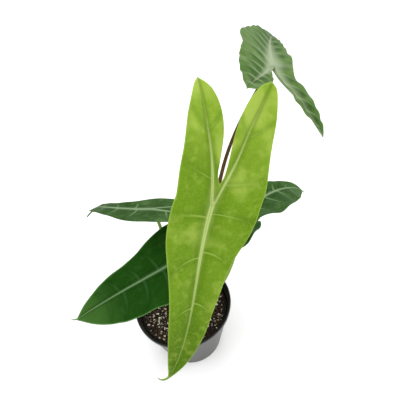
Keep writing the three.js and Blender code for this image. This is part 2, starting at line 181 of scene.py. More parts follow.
def makeStudio():
    world = bpy.data.worlds.new("studio")
    world.use_nodes = True
    back = world.node_tree.nodes["Background"]
    back.inputs["Color"].default_value = (1, 1, 1, 1)
    back.inputs["Strength"].default_value = studio["worldStrength"]
    bpy.context.scene.world = world
    for name, light in studio["lights"].items():
        data = bpy.data.lights.new(name, "AREA")
        data.size = light["size"]
        data.energy = light["power"]
        lamp = bpy.data.objects.new(name, data)
        place = Vector(light["place"])
        aim = (Vector(studio["target"]) - place).to_track_quat("-Z", "Y")
        lamp.matrix_world = Matrix.Translation(place) @ aim.to_matrix().to_4x4()
        bpy.context.scene.collection.objects.link(lamp)
    floorPaper, _, shader = newMaterial("white_studio_paper")
    fillInputs(shader, {"Base Color": hexColour(studio["floor"]), "Roughness": 0.9})
    half = 3.0
    corners = [(-half, -half, 0), (half, -half, 0), (half, half, 0), (-half, half, 0)]
    floor = meshObject("floor", corners, [(0, 1, 2, 3)], floorPaper, smooth=False)
    bpy.context.scene.view_settings.view_transform = "Standard"
    bpy.context.scene.view_settings.look = "None"


makeStudio()
print("camera and studio made")


# Leaves. Lengths in mm, angles in degrees; a blade's own shape is given in blade lengths.

bladeShape = {
    # half outline of a blade laid flat: x away from the midrib, y towards the apex
    "front": [(0.212, -0.04), (0.212, 0.06), (0.200, 0.16), (0.175, 0.26), (0.150, 0.36), (0.130, 0.47),
              (0.114, 0.58), (0.098, 0.69), (0.074, 0.80), (0.042, 0.905), (0, 1)],
    "outer": [(0.212, -0.04), (0.219, -0.14), (0.218, -0.26), (0.220, -0.38), (0.221, -0.48), (0.212, -0.57),
              (0.191, -0.638), (0.155, -0.672)],
    "inner": [(0, -0.115), (0.018, -0.17), (0.024, -0.27), (0.028, -0.38), (0.040, -0.48), (0.064, -0.57),
              (0.102, -0.638), (0.155, -0.672)],
    "curlStart": 0.97,
    "veinSweep": 0.13,  # how far a side vein runs ahead on its way out
    "lobeSweep": 0.04,
    "shoulderReach": 0.25,
    "veinStagger": 0.03,  # the right one of a pair starts this much nearer the junction
    "outOfStep": 2.1,  # the left margin's waves against the right one's, in radians
    "over": 0.25,  # thickness above and below the mid surface
    "under": 0.30,
    "ribOver": 0.55,
    "ribUnder": 1.75,
    "ribHalfWidth": 2.5,
    "lobeRib": 0.72,  # a lobe's rib against the midrib
    "ribTaper": (0.86, 0.75, 0.12),  # share of the width lost, how soon, and the least half width
    "ridge": 0.9,  # half width of a rib's ridge and of its groove, in rib half widths
    "groove": 0.32,
    "grooveDepth": 0.45,  # against the ridge's height
    "veinHalfWidth": 0.7,
    "veinDip": 0.16,  # side veins dip on the upper side and stand out of the underside
    "veinRise": 0.34,
    "cord": (0.5, 0.45, 0.06),  # margin cord: how far in, how wide, how high
    "rowGap": 0.011,
    "rowLeast": 0.12,  # rows nearer than this are one
    "tailRows": 12,
    "veinRows": (0.3, 0.65, 1.1, 1.8),  # rows this far from a side vein keep it crisp
}

leaves = {
    "front": {
        "junction": (46.9, -55.5, 310.4), "length": 151.4, "heading": -131.7, "pitch": 51.6, "roll": -45.4,
        "droop": (24.5, -28.8), "turn": (53, -70.3), "twist": -2.7, "lobeDroop": 28.1, "lobeTurn": -35.9,
        "width": 0.986, "innerWidth": 1.18, "belly": 0.029, "lean": -0.046,
        "sinus": 0.115, "fold": 0.274, "cup": 0.041,
        "wave": (0.41, 2.918, -0.94), "quilt": 0.5, "crimp": 0.4,
        "veins": {"front": (0.055, 0.265, 0.55, 0.78), "lobe": (0.2, 0.58)},
        "tail": {"length": 0.09, "half": 0.006, "turn": -80, "droop": -20},
        "right": {"turn": -3.2, "length": 0.865, "lift": 16.3, "taper": 0.167,
                  "shoulder": 0.118, "swell": 0.061, "round": -0.146},
        "left": {"turn": 2.3, "length": 0.832, "lift": -20, "taper": 0.412,
                  "shoulder": -0.132, "swell": -0.009, "round": -0.085},
        "stalkAngle": -72, "stalkWay": ((37, -119, 262), (-5, -16, 240)),
        "look": "lime", "stalkLook": "young",
    },
    "lower_left": {
        "junction": (16.3, 8.2, 163.9), "length": 124.9, "heading": 204.4, "pitch": 2, "roll": 11.3,
        "droop": (11.4, -2.8), "turn": (-18.4, 18.3), "twist": -28.5, "lobeDroop": 12.7, "lobeTurn": -4.8,
        "width": 1.923, "innerWidth": 1, "belly": 0.102, "lean": 0.287,
        "sinus": 0.115, "fold": 0.227, "cup": 0.828,
        "wave": (1.19, 2.978, -0.25), "quilt": 0.6, "crimp": 0.6,
        "veins": {"front": (0.1, 0.26, 0.43, 0.61, 0.75), "lobe": (0.18, 0.45, 0.72)},
        "tail": {"length": 0.05, "half": 0.006, "turn": -60, "droop": 0},
        "right": {"turn": 2.1, "length": 0.889, "lift": 6.3, "taper": 0.158,
                  "shoulder": -0.163, "swell": 0.163, "round": 0},
        "left": {"turn": 6, "length": 0.9, "lift": -5, "taper": 0,
                  "shoulder": 0.196, "swell": 0, "round": 0},
        "stalkAngle": 196, "stalkWay": ((-1, 1, 106), (8, 5, 135)), "look": "dark", "stalkLook": "green",
    },
    "upper_left": {
        "junction": (-14.4, 51.7, 192.1), "length": 124.3, "heading": 165.7, "pitch": 4.8, "roll": 22.9,
        "droop": (47.3, 7.3), "turn": (-65.4, 14.8), "twist": -19.9, "lobeDroop": 8.8, "lobeTurn": 0.6,
        "width": 0.979, "innerWidth": 1.006, "belly": -0.289, "lean": 0.123,
        "sinus": 0.17, "fold": 0.023, "cup": -0.064,
        "wave": (-0.04, 2.678, 0.45), "quilt": 0.5, "crimp": 0.5,
        "veins": {"front": (0.14, 0.34, 0.54, 0.74), "lobe": (0.25, 0.6)},
        "tail": {"length": 0.12, "half": 0.014, "turn": 150, "droop": -60},
        "right": {"turn": 0.4, "length": 0.891, "lift": -1, "taper": -0.016,
                  "shoulder": -0.062, "swell": 0.076, "round": 0.004},
        "left": {"turn": 0.8, "length": 0.913, "lift": 7.8, "taper": 0.034,
                  "shoulder": 0.086, "swell": -0.024, "round": -0.01},
        "stalkAngle": 124, "stalkWay": ((-8, 61, 175), (-9, 55, 166)), "look": "mid", "stalkLook": "green",
    },
    "right": {
        "junction": (73, -10.5, 242.9), "length": 101, "heading": 40.5, "pitch": 10.2, "roll": -15.2,
        "droop": (24.5, 20.5), "turn": (-1.8, -6.3), "twist": 46.2, "lobeDroop": 17.7, "lobeTurn": -3.8,
        "width": 0.987, "innerWidth": 1, "belly": 0.295, "lean": -0.302,
        "sinus": 0.115, "fold": 0.236, "cup": -0.05,
        "wave": (1.24, 3.12, -2.15), "quilt": 0.6, "crimp": 0.8,
        "veins": {"front": (0.1, 0.3, 0.5, 0.7), "lobe": (0.2, 0.5)},
        "tail": {"length": 0.05, "half": 0.006, "turn": -60, "droop": 0},
        "right": {"turn": -5, "length": 0.8, "lift": -7, "taper": 0.01,
                  "shoulder": 0, "swell": 0, "round": 0},
        "left": {"turn": 0, "length": 0.86, "lift": 0, "taper": 0,
                  "shoulder": -0.12, "swell": 0, "round": 0},
        "stalkAngle": -4, "stalkWay": ((15, -6, 123), (48, -72, 168)), "look": "mid", "stalkLook": "green",
    },
    "top": {
        "junction": (128.1, 131.2, 284.2), "length": 152.3, "heading": 81.9, "pitch": 15.6, "roll": 30.1,
        "droop": (6.7, 8.3), "turn": (-3.5, -7.3), "twist": -0.8, "lobeDroop": -2.3, "lobeTurn": 0.9,
        "width": 1.06, "innerWidth": 1.496, "belly": 0.12, "lean": 0.268,
        "sinus": 0.094, "fold": 0.4, "cup": 0.156,
        "wave": (0.33, 3.529, -0.67), "quilt": 1.3, "crimp": 1.2,
        "veins": {"front": (0.1, 0.27, 0.44, 0.62, 0.8), "lobe": (0.14, 0.32, 0.5, 0.68, 0.85)},
        "tail": {"length": 0.05, "half": 0.006, "turn": 30, "droop": 0},
        "right": {"turn": 2.6, "length": 0.808, "lift": -5.5, "taper": 0.433,
                  "shoulder": -0.118, "swell": 0.006, "round": -0.2},
        "left": {"turn": 11.3, "length": 1.101, "lift": -6, "taper": 0.53,
                  "shoulder": -0.201, "swell": -0.161, "round": -1.071},
        "stalkAngle": 54, "stalkWay": ((66, 23, 161), (33, 143, 117)), "look": "grey", "stalkLook": "brown",
    },
}


def alongOutline(outline, s):
    # Catmull-Rom curve through the outline's points
    points = np.array(outline, float)
    last = len(points) - 1
    x = np.clip(s, 0, 1) * last
    i = np.minimum(np.floor(x).astype(int), last - 1)
    f = (x - i)[:, None]
    p0, p1, p2, p3 = points[np.maximum(i - 1, 0)], points[i], points[i + 1], points[np.minimum(i + 2, last)]
    return 0.5 * (2 * p1 + (p2 - p0) * f + (2 * p0 - 5 * p1 + 4 * p2 - p3) * f ** 2
                  + (3 * p1 - p0 - 3 * p2 + p3) * f ** 3)


def spineOf(leaf):
    # the bent midrib line, from behind the lobes to the drip tip
    v = np.linspace(-1, 1.1, 421)
    ahead, behind = np.maximum(v, 0), np.minimum(v, 0)
    tail, start = leaf["tail"], bladeShape["curlStart"]
    curl = np.clip((v - start) / (1 + tail["length"] - start), 0, 1)
    pitch = np.radians(leaf["pitch"] + leaf["droop"][0] * ahead + leaf["droop"][1] * ahead ** 2
                       + leaf["lobeDroop"] * behind + tail["droop"] * curl)
    heading = np.radians(leaf["heading"] + leaf["turn"][0] * ahead + leaf["turn"][1] * ahead ** 2
                         + leaf["lobeTurn"] * behind + tail["turn"] * curl)
    roll = np.radians(leaf["roll"] + leaf["twist"] * v)[:, None]
    forward = np.stack([np.cos(pitch) * np.cos(heading), np.cos(pitch) * np.sin(heading), -np.sin(pitch)], -1)
    level = np.stack([-np.sin(heading), np.cos(heading), 0 * v], -1)
    across = np.cos(roll) * level + np.sin(roll) * np.cross(forward, level)
    up = np.cross(forward, across)
    steps = 0.5 * (forward[1:] + forward[:-1]) * (v[1] - v[0]) * leaf["length"]
    place = np.concatenate([np.zeros((1, 3)), np.cumsum(steps, 0)])
    shift = [leaf["junction"][k] - np.interp(0, v, place[:, k]) for k in range(3)]
    return v, place + shift, across, up


def sampleSpine(spine, v):
    rows = spine[0]
    return [np.stack([np.interp(v, rows, values[:, k]) for k in range(3)], -1) for values in spine[1:]]


def swept(part, q, side, t):
    # a line across the blade starts at q on the rib and sweeps towards the tip on its way out
    bow = 6.75 * q * (1 - q) ** 2  # 1 at a third of the way, 0 at both ends
    fade = np.clip(q / 0.08, 0, 1) * np.clip((1 - q) / 0.2, 0, 1) * np.clip(t / 0.06, 0, 1)
    sweep = bladeShape["veinSweep" if part == "front" else "lobeSweep"]
    s = q + sweep * bow * t ** 1.6 - (bladeShape["veinStagger"] * fade if side > 0 else 0)
    return np.where(q >= 1, q, s)


def bulgeAt(veins, q):
    # 0 on a side vein, 1 half way between two and where blade and lobe meet
    marks = [0, *veins, 1]
    turns = [0.5, *range(1, len(veins) + 1), len(veins) + 0.5]
    return 0.5 - 0.5 * np.cos(2 * math.pi * np.interp(q, marks, turns))


def partOf(leaf, part):
    # the length of a blade's part along its rib, and where its side veins start
    if part == "front":
        return leaf["length"], leaf["veins"]["front"]
    return leaf["length"] * -bladeShape["outer"][-1][1], leaf["veins"]["lobe"]


def rowsAlong(leaf, part):
    # rows of points along the rib: even ones, and close ones on both sides of every side vein
    count = math.ceil(1 / bladeShape["rowGap"])
    rows = [i / count for i in range(count + 1)]
    partLength, veins = partOf(leaf, part)
    for vein in veins:
        rows.append(vein)
        for away in bladeShape["veinRows"]:
            rows += [vein - away / partLength, vein + away / partLength]
    rows = sorted(rows)
    least = bladeShape["rowLeast"] / partLength
    rows = [0.0] + [q for q, before in zip(rows[1:], rows) if q - before > least]
    if rows[-1] < 1:
        rows.append(1.0)
    if part == "front":
        count = bladeShape["tailRows"]
        rows += [1 + leaf["tail"]["length"] * (i + 1) / count for i in range(count)]
    return np.array(rows)


def shapeLobe(leaf, side, points):
    lobe = leaf["right" if side > 0 else "left"]
    sinus = leaf["sinus"]
    x, y = points[:, 0], points[:, 1]
    y = np.where(y < -sinus, -sinus + (y + sinus) * lobe["length"], y)
    angle = math.radians(lobe["turn"]) * smoothStep((-y - sinus) / 0.3)
    return np.stack([x * np.cos(angle) - y * np.sin(angle), x * np.sin(angle) + y * np.cos(angle)], -1)


def ribAndEdge(leaf, part, side, s):
    own = leaf["right" if side > 0 else "left"]
    shoulder = 1 + own["shoulder"] * np.exp(-(s / bladeShape["shoulderReach"]) ** 2)
    width = leaf["width"] * (1 + side * leaf["lean"]) * shoulder
    edge = alongOutline(bladeShape[part], s)
    if part == "front":
        full = edge[:, 0] * width * (1 + leaf["belly"] * np.sin(math.pi * np.clip(s, 0, 1)))
        tail = leaf["tail"]["length"]
        left = np.clip((1 + tail - s) / tail, 0, 1)
        tip = leaf["tail"]["half"] * smoothStep((s - 0.85) / 0.15) * np.sqrt(left)
        return np.stack([0 * s, s], -1), np.stack([np.hypot(full, tip), np.where(s > 1, s, edge[:, 1])], -1)
    end = bladeShape["outer"][-1]
    ribX = end[0] * (1.1 * s - 0.1 * s ** 2)
    if part == "inner":
        # the notch starts at the leaf's own place
        start = edge[:, 1] - bladeShape["inner"][0][1]
        depth = end[1] - bladeShape["inner"][0][1]
        edge[:, 1] = -leaf["sinus"] + start * (end[1] + leaf["sinus"]) / depth
    if part == "outer":
        scale = width * (1 - own["taper"] * s ** 2 + own["swell"] * np.sin(math.pi * s))
    else:
        scale = leaf["innerWidth"] * (1 + own["round"] * s ** 3)
    edge[:, 0] = ribX + (edge[:, 0] - ribX) * scale
    rib = np.stack([ribX, end[1] * s], -1)
    return shapeLobe(leaf, side, rib), shapeLobe(leaf, side, edge)


def ribCloseness(leaf, flat):
    # distance to the nearest main rib over that rib's half width, on the flat blade
    s = np.linspace(0, 1, 200)
    best = np.full(len(flat), 1e9)
    reach = np.zeros(len(flat))
    lost, power, least = bladeShape["ribTaper"]
    for part, side in (("front", 1), ("outer", 1), ("outer", -1)):
        line, _ = ribAndEdge(leaf, part, side, s)
        line = line * [side, 1]
        start = 1.0 if part == "front" else bladeShape["lobeRib"]
        halfWidth = bladeShape["ribHalfWidth"] * start * (1 - lost * s ** power) + least
        far = np.linalg.norm(flat[:, None] - line[None], axis=2) * leaf["length"]
        ratio = far / halfWidth
        nearest = ratio.argmin(1)
        value = ratio[np.arange(len(flat)), nearest]
        closer = value < best
        best = np.where(closer, value, best)
        reach = np.where(closer, s[nearest], reach)
    return best, reach


def bladeFields(leaf, part, side, q, t):
    # every sample's place on the mid surface, and what the material reads there
    s = swept(part, q, side, t)
    rib, edge = ribAndEdge(leaf, part, side, s)
    flat = rib + (edge - rib) * t[:, None]
    halfWidth = np.linalg.norm(edge - rib, axis=1)
    u, v = side * flat[:, 0], flat[:, 1]
    waveHeight, waveCount, wavePhase = leaf["wave"]
    phase = wavePhase + (0 if side > 0 else bladeShape["outOfStep"])
    turns = 2 * math.pi * waveCount * s
    ripple = {"front": np.sin(turns + phase), "outer": np.sin(phase - turns),
              "inner": np.sin(0.8 * turns)}[part]
    partLength, veins = partOf(leaf, part)
    bulge = bulgeAt(veins, q)
    wide = np.clip(halfWidth / 0.12, 0, 1)
    height = leaf["fold"] * leaf["length"] * halfWidth * t * (1 - 0.4 * t)
    height = height + waveHeight * t ** 2 * (1 - np.clip(s, 0, 1) ** 3) * ripple * wide
    height = height + (leaf["quilt"] * 4 * t * (1 - t) + leaf["crimp"] * t ** 3) * bulge * wide
    if part != "front":
        lift = leaf["right" if side > 0 else "left"]["lift"]
        height = height + lift * np.maximum((-v - leaf["sinus"]) / 0.6, 0) ** 2
    place, across, up = sampleSpine(leaf["spine"], v)
    cup = leaf["cup"]
    bend = (cup * u)[:, None]
    middle = place + leaf["length"] * (np.sin(bend) / cup * across + (1 - np.cos(bend)) / cup * up)
    normal = np.cos(bend) * up - np.sin(bend) * across
    nearest = np.abs(q[:, None] - np.array(veins)[None]).min(1) * partLength
    return {
        "point": middle + height[:, None] * normal,
        "flat": np.stack([u, v], -1),
        "vein": np.where(q <= 1, nearest, 9.0),
        "bulge": bulge * wide,
        "edge": (1 - t) * halfWidth * leaf["length"],
        "out": t,
        "along": q if part == "front" else -q,
    }


def bladeColumns(part):
    if part == "inner":
        return np.array([0, 0.05, 0.1, 0.16, 0.24, 0.34, 0.45, 0.56, 0.67, 0.78, 0.87, 0.94, 0.98, 1.0])
    near = np.array([0, 0.012, 0.025, 0.04, 0.055, 0.075, 0.10, 0.13])
    return np.concatenate([near, np.linspace(0.17, 0.93, 18), [0.955, 0.975, 0.99, 1.0]])


def buildBlade(name, leaf, material):
    leaf["spine"] = spineOf(leaf)
    quads = []
    fields = {}
    count = 0
    for side in (1, -1):
        for part in ("front", "outer", "inner"):
            q, t = np.meshgrid(rowsAlong(leaf, part), bladeColumns(part), indexing="ij")
            for key, values in bladeFields(leaf, part, side, q.ravel(), t.ravel()).items():
                fields.setdefault(key, []).append(values)
            index = count + np.arange(q.size).reshape(q.shape)
            count += q.size
            a, b, c, d = index[:-1, :-1], index[1:, :-1], index[1:, 1:], index[:-1, 1:]
            quad = np.stack([a, b, c, d], -1).reshape(-1, 4)
            quads.append(quad[:, ::-1] if (part == "outer") != (side < 0) else quad)
    fields = {key: np.concatenate(values) for key, values in fields.items()}
    keys = np.round(fields["point"] * 2000).astype(np.int64)
    _, first, shared = np.unique(keys, axis=0, return_index=True, return_inverse=True)
    shared = shared.ravel()
    fields = {key: values[first] for key, values in fields.items()}
    faces = []
    for quad in shared[np.concatenate(quads)]:
        corners = list(dict.fromkeys(quad.tolist()))
        if len(corners) > 2:
            faces.append(corners)
    return closeBlade(name, leaf, fields, faces, material)


def closeBlade(name, leaf, fields, faces, material):
    # relief of ribs and side veins, then an upper and a lower skin joined round the margin
    points = fields["point"]
    triangles = np.array([t for f in faces for t in ([f[0], f[1], f[2]], [f[0], f[2], f[-1]])[: len(f) - 2]])
    corners = [points[triangles[:, k]] for k in range(3)]
    facing = np.cross(corners[1] - corners[0], corners[2] - corners[0])
    normal = np.zeros_like(points)
    for k in range(3):
        np.add.at(normal, triangles[:, k], facing)
    normal = unit(normal)
    closeness, reach = ribCloseness(leaf, fields["flat"])
    b = bladeShape
    inset, cordWidth, cordHeight = b["cord"]
    ridge = np.exp(-(closeness / b["ridge"]) ** 2)
    groove = np.exp(-(closeness / b["groove"]) ** 2)
    ribFade = 1 - 0.8 * reach
    rounding = smoothStep(fields["edge"] / 0.6) * 0.75 + 0.25
    veinFade = np.clip(fields["edge"] / 6, 0, 1) * (1 - ridge) * (1 - 0.6 * fields["out"])
    sideVein = np.exp(-(fields["vein"] / b["veinHalfWidth"]) ** 2) * veinFade
    cord = cordHeight * np.exp(-((fields["edge"] - inset) / cordWidth) ** 2)
    over = b["over"] * rounding + ribFade * b["ribOver"] * (ridge - b["grooveDepth"] * groove) \
        - b["veinDip"] * sideVein + cord
    under = b["under"] * rounding + ribFade * b["ribUnder"] * np.exp(-closeness ** 2) \
        + b["veinRise"] * sideVein + cord
    count = len(points)
    allPoints = np.concatenate([points + normal * over[:, None], points - normal * under[:, None]]) * mm
    edges = {}
    for face in faces:
        for here, there in zip(face, face[1:] + face[:1]):
            if (there, here) in edges:
                del edges[(there, here)]
            else:
                edges[(here, there)] = True
    closed = faces + [[i + count for i in face[::-1]] for face in faces]
    closed += [[here, here + count, there + count, there] for here, there in edges]
    layers = {key: np.tile(fields[key], 2) for key in ("vein", "bulge", "edge", "out", "along")}
    layers["rib"] = np.tile(closeness, 2)
    layers["reach"] = np.tile(reach, 2)
    layers["underside"] = np.concatenate([np.zeros(count), np.ones(count)])
    return meshObject("leaf_blade_" + name, allPoints, closed, material, layers)


# Leaf skin: live lamina, a waxy satin face over green tissue, paler along its ribs, with painted sheen and
# painted shade in its colour

leafLooks = {
    "lime": {
        "green": "#62841a", "light": "#a0b350", "deep": "#486a10", "tip": "#41610f", "lobe": "#77952a",
        "rib": "#b2c27a", "groove": "#88a748", "sideVein": "#95ae52", "margin": "#90ab47", "under": "#93a953",
        "slot": "lime_blade", "tint": "#c8e08a", "shine": 0.1, "through": 0.1,
        "ribMix": 0.88, "ribEnd": 0.2, "ribSheenMix": 0.18, "ribSheenReach": 2.2, "ribSheenTaper": 1,
        "veinMix": 0.6, "veinWidth": 1.0, "lobeVein": 0.35, "net": 0.04, "quiltShade": 0.1,
        "cloud": 0.65, "rim": 0.5, "rimWidth": 1.3, "tipStart": 0.3,
    },
    "dark": {
        "green": "#193f0d", "light": "#325823", "deep": "#0d2906", "tip": "#3f632b", "lobe": "#1c480c",
        "rib": "#7a9a6c", "groove": "#426634", "sideVein": "#3f6537", "margin": "#5d8649", "under": "#47712f",
        "slot": "dark_blade", "tint": "#9fd07a", "shine": 0.02, "through": 0.0,
        "ribMix": 0.66, "ribEnd": 0.75, "ribSheenMix": 0.16, "ribSheenReach": 2.6, "ribSheenTaper": 0.5,
        "veinMix": 0.34, "veinWidth": 2.4, "lobeVein": 0.8, "net": 0.05, "quiltShade": 0.1,
        "cloud": 0.3, "rim": 0.7, "rimWidth": 1.9, "tipStart": 0.55,
    },
    "mid": {
        "green": "#2d4b20", "light": "#5d7c48", "deep": "#1f3d12", "tip": "#335420", "lobe": "#2b4d1b",
        "rib": "#8aa07c", "groove": "#5c7a4b", "sideVein": "#67845a", "margin": "#4a6e36", "under": "#6c8a57",
        "slot": "mid_blade", "tint": "#b4d890", "shine": 0.03, "through": 0.0,
        "ribMix": 0.8, "ribEnd": 0.6, "ribSheenMix": 0.2, "ribSheenReach": 2.6, "ribSheenTaper": 1,
        "veinMix": 0.85, "veinWidth": 1.9, "lobeVein": 0.9, "net": 0.2, "quiltShade": 0.5,
        "cloud": 0.7, "rim": 0.35, "rimWidth": 1.1, "tipStart": 0.3,
    },
    "grey": {
        "green": "#536f39", "light": "#738a5b", "deep": "#2a4a17", "tip": "#3d5c24", "lobe": "#44632a",
        "rib": "#9ca98b", "groove": "#929f80", "sideVein": "#84966c", "margin": "#6b8353", "under": "#8a9a70",
        "slot": "grey_blade", "tint": "#c8dcb4", "shine": 0.08, "through": 0.0,
        "ribMix": 0.9, "ribEnd": 0.5, "ribSheenMix": 0.8, "ribSheenReach": 6.5, "ribSheenTaper": 5,
        "veinMix": 0.85, "veinWidth": 2.3, "lobeVein": 0.9, "net": 0.08, "quiltShade": 0.75,
        "cloud": 0.5, "rim": 0.4, "rimWidth": 1.3, "tipStart": 0.1,
    },
}


# what all leaves share; patches of 26 mm, mottling of 6 mm, a net of 3 mm and a grain of 1.7 mm
leafPattern = {
    "cloud": (38.0, 3.0), "mottle": (160.0, 2.0), "grain": (600.0, 2.0), "net": 330.0,
    "groove": (0.4, 0.15), "grooveEnd": (0.5, 0.1), "grooveMix": 0.5,
    "roughness": (0.37, 0.55), "underMix": 0.6, "relief": 0.4,
}


def leafSkin(name):
    look, pattern = leafLooks[name], leafPattern
    colour = {key: hexColour(value) for key, value in look.items() if str(value).startswith("#")}
    material, add, shader = newMaterial("waxy_leaf_skin_" + name)
    read = {key: add("ShaderNodeAttribute", {"attribute_name": key}).outputs["Fac"]
            for key in ("rib", "reach", "vein", "bulge", "edge", "out", "along", "underside")}
    place = add("ShaderNodeTexCoord").outputs["Object"]
    cloud, mottle, grain = (
        add("ShaderNodeTexNoise", {}, {
            "Vector": place, "Scale": pattern[key][0], "Detail": pattern[key][1]}).outputs["Fac"]
        for key in ("cloud", "mottle", "grain"))
    net = add("ShaderNodeTexVoronoi", {"feature": "DISTANCE_TO_EDGE"}, {
        "Vector": place, "Scale": pattern["net"]}).outputs["Distance"]
    # each mask is a product of smooth steps: what a step reads, where it starts and ends, its least and most
    steps = {
        "lobeLift": [("along", 0.1, -0.3, 0, 0.09)],
        "rimLift": [("out", 0.35, 0.9, 0, 0.03)],
        "vein": [("vein", look["veinWidth"], 0.15, 0, look["veinMix"]), ("out", 0.85, 0.2, 0, 1),
                 ("along", 0.95, 0.5, 0, 1), ("along", -0.3, -0.05, look["lobeVein"], 1)],
        "rib": [("rib", 0.95, 0.45, 0, look["ribMix"]), ("reach", 0.85, 0.1, look["ribEnd"], 1)],
        "groove": [("rib", *pattern["groove"], 0, pattern["grooveMix"])],
    }
    mask = {}
    for key, parts in steps.items():
        for source, start, end, least, most in parts:
            step = add("ShaderNodeMapRange", {"interpolation_type": "SMOOTHSTEP"}, {
                "Value": read[source], "From Min": start, "From Max": end, "To Min": least,
                "To Max": most}).outputs["Result"]
            mask[key] = step if key not in mask else add(
                "ShaderNodeMath", {"operation": "MULTIPLY"}, {0: mask[key], 1: step}).outputs[0]
    # light patches, partly the blade's own mottling and partly painted sheen, come more often on the lobes
    # and near the margin than in the middle of a blade
    patches = cloud
    for lift in (mask["lobeLift"], mask["rimLift"]):
        patches = add("ShaderNodeMath", {"operation": "ADD"}, {0: patches, 1: lift}).outputs[0]
    # painted shade of the quilting: the blade between the side veins is darkened, most beside the rib
    inward = add("ShaderNodeMath", {"operation": "SUBTRACT"}, {0: 1.0, 1: read["out"]}).outputs[0]
    quiltShade = add("ShaderNodeMath", {"operation": "MULTIPLY"}, {0: read["bulge"], 1: inward}).outputs[0]
    # painted sheen along the ribs: a pale band, broad at the junction and closing in towards their ends
    ribSheen = add("ShaderNodeMath", {"operation": "MULTIPLY_ADD"}, {
        0: read["reach"], 1: look["ribSheenTaper"], 2: read["rib"]}).outputs[0]
    # each band: what it reads, where it starts and ends, how strong it is, and the colour that it brings
    bands = [
        (cloud, 0.46, 0.30, 0.35, "deep"),
        # the tip and lobe bands are partly the leaf's own tone and partly painted light: painted shade where
        # their colour is deeper than the blade's, painted sheen where it is paler
        (read["along"], look["tipStart"], 1.0, 0.95, "tip"),
        (read["along"], -0.05, -0.6, 0.9, "lobe"),
        # light patches, partly painted sheen
        (patches, 0.57, 0.80, look["cloud"], "light"),
        (mottle, 0.50, 0.75, 0.3, "light"),
        (grain, 0.35, 0.75, 0.15, "light"),
        # painted shade between the side veins
        (quiltShade, 0.12, 0.5, look["quiltShade"], "deep"),
        # painted shade in the grooves beside the side veins and the ribs
        (read["vein"], 5.0, 1.2, 0.25, "deep"),
        (read["rib"], 5.0, 1.3, 0.4, "deep"),
        # painted sheen along the ribs
        (ribSheen, look["ribSheenReach"], 0.8, look["ribSheenMix"], "rib"),
        (net, 0.09, 0.0, look["net"], "sideVein"),
        (read["edge"], look["rimWidth"], 0.3, look["rim"], "margin"),
    ]
    tone = colour["green"]
    for value, start, end, strength, paint in bands:
        factor = add("ShaderNodeMapRange", {"interpolation_type": "SMOOTHSTEP"}, {
            "Value": value, "From Min": start, "From Max": end, "To Max": strength}).outputs["Result"]
        tone = add("ShaderNodeMix", {"data_type": "RGBA"}, {
            "Factor": factor, 6: tone, 7: colour[paint]}).outputs[2]
    # main ribs: two pale cords with a greener groove between them, which closes towards their ends
    start, end = pattern["grooveEnd"]
    grooveEnd = add("ShaderNodeMapRange", {}, {"Value": read["reach"], "From Min": start, "From Max": end})
    grooveMask = add("ShaderNodeMath", {"operation": "MULTIPLY"}, {
        0: mask["groove"], 1: grooveEnd.outputs["Result"]}).outputs[0]
    ribTone = add("ShaderNodeMix", {"data_type": "RGBA"}, {
        "Factor": grooveMask, 6: colour["rib"], 7: colour["groove"]}).outputs[2]
    for factor, paint in ((mask["vein"], colour["sideVein"]), (mask["rib"], ribTone)):
        tone = add("ShaderNodeMix", {"data_type": "RGBA"}, {"Factor": factor, 6: tone, 7: paint}).outputs[2]
    paler = add("ShaderNodeMix", {"data_type": "RGBA"}, {
        "Factor": pattern["underMix"], 6: tone, 7: colour["under"]}).outputs[2]
    tone = add("ShaderNodeMix", {"data_type": "RGBA"}, {
        "Factor": read["underside"], 6: tone, 7: paler}).outputs[2]
    least, most = pattern["roughness"]
    rough = add("ShaderNodeMapRange", {}, {"Value": grain, "To Min": least, "To Max": most})
    fine = add("ShaderNodeMath", {"operation": "ADD"}, {0: net, 1: grain}).outputs[0]
    relief = add("ShaderNodeBump", {}, {
        "Strength": 0.2, "Distance": pattern["relief"] * mm, "Height": fine})
    fillInputs(shader, {
        "Base Color": tone, "Roughness": rough.outputs["Result"], "IOR": 1.3,
        "Specular IOR Level": look["shine"], "Specular Tint": colour["tint"],
        "Subsurface Weight": look["through"], "Subsurface Radius": (0.6, 1.0, 0.2), "Subsurface Scale": 0.002,
        "Normal": relief.outputs["Normal"]})
    return material


skins = {name: leafSkin(name) for name in leafLooks}
for name, leaf in leaves.items():
    blade = buildBlade(name, leaf, skins[leaf["look"]])
    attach(blade, "root")
    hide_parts("blade_" + name)
    print("blade", name, "has", len(blade.data.polygons), "faces")
print("blades made")


# Stalks: smooth round petioles, widening to a sheath at the corm

stalkShape = {
    "ring": 11, "foot": 73, "base": 4.4, "neck": 2.9, "top": 1.5, "sides": 28, "steps": 120,
    "sheath": 0.12,  # share of the stalk over which its foot slims down
    "channel": 0.08,  # depth of the channel along the stalk, in radii
    "pathPoints": 200,
}

stalkLooks = {
    "young": {"low": "#8ea653", "high": "#a9bf5f", "streak": "#7d9440", "slot": "young_stalk"},
    "green": {"low": "#7d8f4a", "high": "#7f9a45", "streak": "#5d7434", "slot": "green_stalk"},
    "brown": {"low": "#5c4722", "high": "#4a2f16", "streak": "#27160c", "slot": "brown_stalk"},
}


# streaks 1.4 mm wide and 12 mm long: their scale, detail, start, full strength and how much they cover
stalkPattern = {"stretch": 0.12, "streak": (700.0, 3.0), "from": 0.42, "full": 0.72, "most": 0.75}


